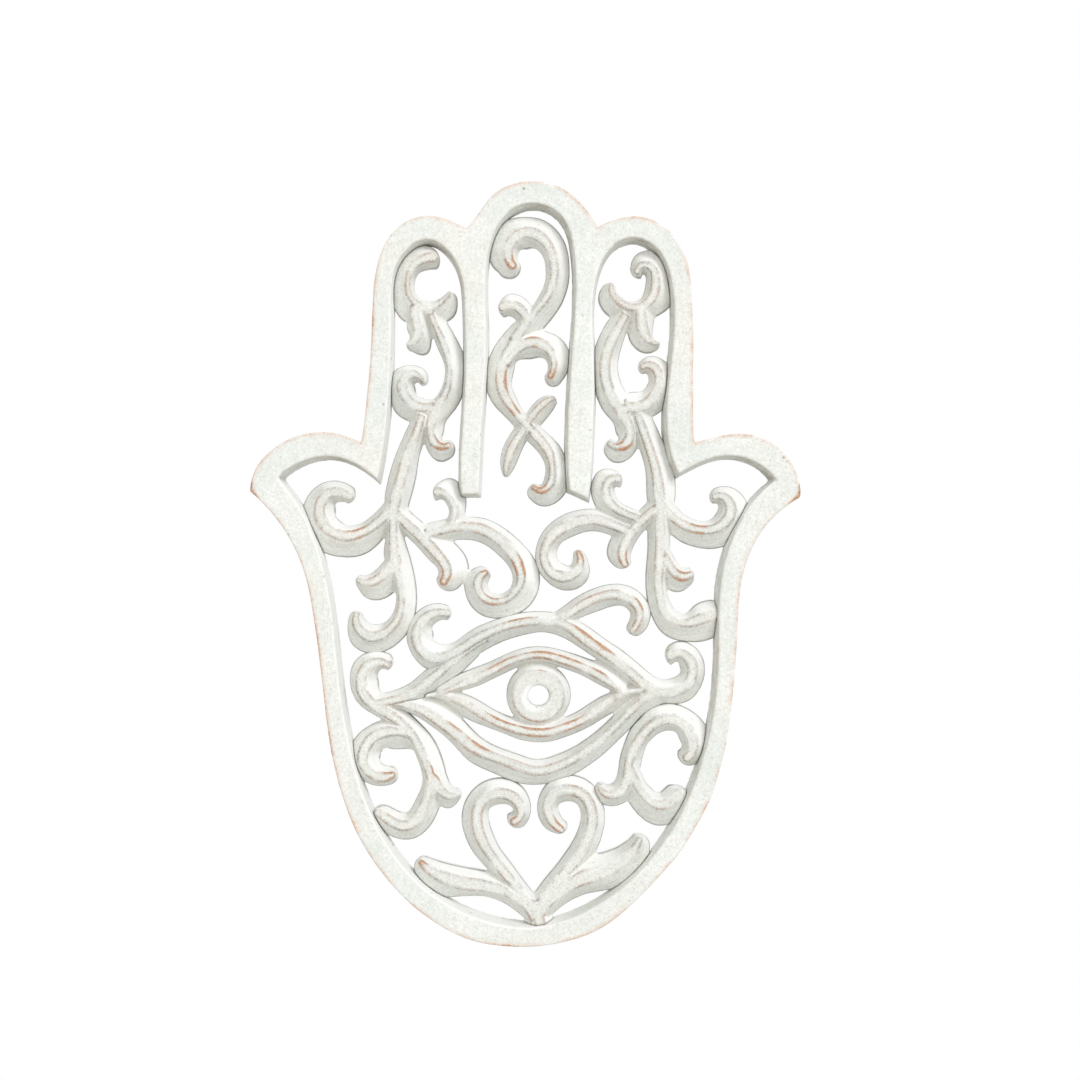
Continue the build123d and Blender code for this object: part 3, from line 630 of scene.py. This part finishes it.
# hanger screws: pan heads with a cross, set by a tree on a grid of four points
screws = {
    "middle": (1.6 * mm, 0.9 * mm, 329 * mm),
    "apart": (57.6 * mm, 10 * mm),
    "headRadius": 2.5 * mm,
    "headHeight": 1.6 * mm,
    "headSides": 40,
    # shares of the radius and of the height, from the crown to the seat
    "headProfile": [(0.3, 1.0), (0.62, 0.95), (0.86, 0.72), (0.97, 0.4), (1.0, 0.1), (0.98, 0.0)],
    "crossLength": 2.7 * mm,
    "crossWidth": 0.62 * mm,
    "crossDepth": 0.8 * mm,
    "turnSeed": 4,
}


def panHead():
    work = bmesh.new()
    radius, height = screws["headRadius"], screws["headHeight"]
    ringSize = screws["headSides"]
    rings = []
    for share, up in screws["headProfile"]:
        ring = []
        for step in range(ringSize):
            angle = 2 * math.pi * step / ringSize
            across, along = radius * share * math.cos(angle), radius * share * math.sin(angle)
            ring.append(work.verts.new((across, height * up, along)))
        rings.append(ring)
    for inner, outer in zip(rings, rings[1:]):
        for step in range(ringSize):
            after = (step + 1) % ringSize
            work.faces.new((inner[step], outer[step], outer[after], inner[after]))
    work.faces.new(rings[0])
    work.faces.new(list(reversed(rings[-1])))
    bmesh.ops.recalc_face_normals(work, faces=work.faces)
    mesh = bpy.data.meshes.new("panHead")
    work.to_mesh(mesh)
    work.free()
    head = bpy.data.objects.new("panHead", mesh)
    bpy.context.scene.collection.objects.link(head)
    for turn in (0, math.pi / 2):
        bpy.ops.mesh.primitive_cube_add(size=1)
        cutter = bpy.context.object
        cutter.scale = (screws["crossLength"], 2 * screws["crossDepth"], screws["crossWidth"])
        cutter.rotation_euler = (0, turn, 0)
        cutter.location = (0, height, 0)
        bpy.context.view_layer.update()
        cut = head.modifiers.new("cross", "BOOLEAN")
        cut.operation = "DIFFERENCE"
        cut.object = cutter
        settle(head)
        bpy.data.objects.remove(cutter)
    return head


def screwTree(head):
    tree = bpy.data.node_groups.new("screwRow", "GeometryNodeTree")
    face = tree.interface
    face.new_socket("Geometry", in_out="INPUT", socket_type="NodeSocketGeometry")
    across = face.new_socket("Apart across", in_out="INPUT", socket_type="NodeSocketFloat")
    up = face.new_socket("Apart up", in_out="INPUT", socket_type="NodeSocketFloat")
    seed = face.new_socket("Turn seed", in_out="INPUT", socket_type="NodeSocketInt")
    face.new_socket("Geometry", in_out="OUTPUT", socket_type="NodeSocketGeometry")
    nodes, links = tree.nodes, tree.links
    given = nodes.new("NodeGroupInput")
    result = nodes.new("NodeGroupOutput")
    grid = nodes.new("GeometryNodeMeshGrid")
    grid.inputs["Vertices X"].default_value = 2
    grid.inputs["Vertices Y"].default_value = 2
    links.new(given.outputs["Apart across"], grid.inputs["Size X"])
    links.new(given.outputs["Apart up"], grid.inputs["Size Y"])
    stand = nodes.new("GeometryNodeTransform")
    stand.inputs["Translation"].default_value = screws["middle"]
    stand.inputs["Rotation"].default_value = (-math.pi / 2, 0, 0)
    links.new(grid.outputs["Mesh"], stand.inputs["Geometry"])
    source = nodes.new("GeometryNodeObjectInfo")
    source.inputs["Object"].default_value = head
    turn = nodes.new("FunctionNodeRandomValue")
    turn.data_type = "FLOAT"
    turn.inputs[3].default_value = math.pi
    links.new(given.outputs["Turn seed"], turn.inputs["Seed"])
    spin = nodes.new("ShaderNodeCombineXYZ")
    links.new(turn.outputs[1], spin.inputs["Y"])
    rows = nodes.new("GeometryNodeInstanceOnPoints")
    links.new(stand.outputs["Geometry"], rows.inputs["Points"])
    links.new(source.outputs["Geometry"], rows.inputs["Instance"])
    links.new(spin.outputs[0], rows.inputs["Rotation"])
    real = nodes.new("GeometryNodeRealizeInstances")
    links.new(rows.outputs["Instances"], real.inputs["Geometry"])
    painted = nodes.new("GeometryNodeSetMaterial")
    painted.inputs["Material"].default_value = zincMaterial
    links.new(real.outputs["Geometry"], painted.inputs["Geometry"])
    links.new(painted.outputs["Geometry"], result.inputs["Geometry"])
    return tree, {across.identifier: screws["apart"][0], up.identifier: screws["apart"][1],
                  seed.identifier: screws["turnSeed"]}


head = panHead()
hangerScrews = bpy.data.objects.new("hangerScrews", bpy.data.meshes.new("hangerScrews"))
bpy.context.scene.collection.objects.link(hangerScrews)
tree, inputs = screwTree(head)
setting = hangerScrews.modifiers.new("screwRow", "NODES")
setting.node_group = tree
for identifier, value in inputs.items():
    setting[identifier] = value
settle(hangerScrews)
bpy.data.objects.remove(head)
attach(hangerScrews, "panel")
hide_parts("hanger_screws")
print("screws set:", len(hangerScrews.data.polygons), "faces")

for nodeName in ("left_hanger_strap", "right_hanger_strap", "left_hanger_ring", "right_hanger_ring"):
    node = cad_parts[nodeName]
    node.data.materials.clear()
    node.data.materials.append(zincMaterial)

# stage: a pale floor, a white surround, a soft key from the upper right and a weak fill by the camera
stage = {
    "floorHeight": -350 * mm,
    "floorSize": 1.8,
    "floorColour": (0.86, 0.86, 0.85),
    "floorShade": (0.85, 0.85, 0.84),
    "worldLight": 0.58,
    "shownWhite": 1.0,
    "keyPlace": (2.6, -3.5, 3.0),
    "keySize": 2.0,
    "keyPower": 120.0,
    "fillPlace": (-1.0, -2.3, 0.6),
    "fillSize": 1.2,
    "fillPower": 15.0,
    "aim": (0.0, 0.0, 0.2),
}


def whiteForTheCamera(tree):
    path = tree.nodes.new("ShaderNodeLightPath")
    seen = Sock(tree, path.outputs["Is Camera Ray"])
    seen = seen + Sock(tree, path.outputs["Is Glossy Ray"]) + Sock(tree, path.outputs["Is Transmission Ray"])
    return seen.clamped()


world = bpy.data.worlds.new("surround")
bpy.context.scene.world = world
world.use_nodes = True
worldTree = world.node_tree
worldTree.nodes.clear()
soft = worldTree.nodes.new("ShaderNodeBackground")
soft.inputs["Color"].default_value = (1, 1, 1, 1)
soft.inputs["Strength"].default_value = stage["worldLight"]
white = worldTree.nodes.new("ShaderNodeBackground")
white.inputs["Color"].default_value = (1, 1, 1, 1)
white.inputs["Strength"].default_value = stage["shownWhite"]
choice = worldTree.nodes.new("ShaderNodeMixShader")
worldTree.links.new(whiteForTheCamera(worldTree).socket, choice.inputs[0])
worldTree.links.new(soft.outputs[0], choice.inputs[1])
worldTree.links.new(white.outputs[0], choice.inputs[2])
worldOut = worldTree.nodes.new("ShaderNodeOutputWorld")
worldTree.links.new(choice.outputs[0], worldOut.inputs[0])

bpy.ops.mesh.primitive_plane_add(size=stage["floorSize"], location=(0, 0, stage["floorHeight"]))
floor = bpy.context.object
floor.name = "floor"
floorFinish = Finish("paleFloor")
floorCloud = floorFinish.grain(30.0).between(0.3, 0.7)
floorTone = floorFinish.mix(floorCloud, stage["floorShade"], stage["floorColour"])
floor.data.materials.append(floorFinish.finish(Base_Color=floorTone, Roughness=0.9))

for lampName in ("key", "fill"):
    light = bpy.data.lights.new(lampName, "AREA")
    light.energy = stage[lampName + "Power"]
    light.size = stage[lampName + "Size"]
    lamp = bpy.data.objects.new(lampName, light)
    lamp.location = stage[lampName + "Place"]
    lamp.rotation_euler = (Vector(stage["aim"]) - lamp.location).to_track_quat("-Z", "Y").to_euler()
    bpy.context.scene.collection.objects.link(lamp)

view = {"centre": (6.8 * mm, 207.5 * mm), "width": 564 * mm, "distance": 1.0, "sensor": 36.0}
camera = bpy.data.cameras.new("camera")
camera.sensor_width = view["sensor"]
camera.sensor_fit = "AUTO"
camera.lens = camera.sensor_width * view["distance"] / view["width"]
cameraObject = bpy.data.objects.new("camera", camera)
cameraObject.location = (view["centre"][0], boardFront - view["distance"], view["centre"][1])
cameraObject.rotation_euler = (math.pi / 2, 0, 0)
bpy.context.scene.collection.objects.link(cameraObject)
bpy.context.scene.camera = cameraObject
bpy.context.scene.view_settings.view_transform = "Standard"
print("stage set")
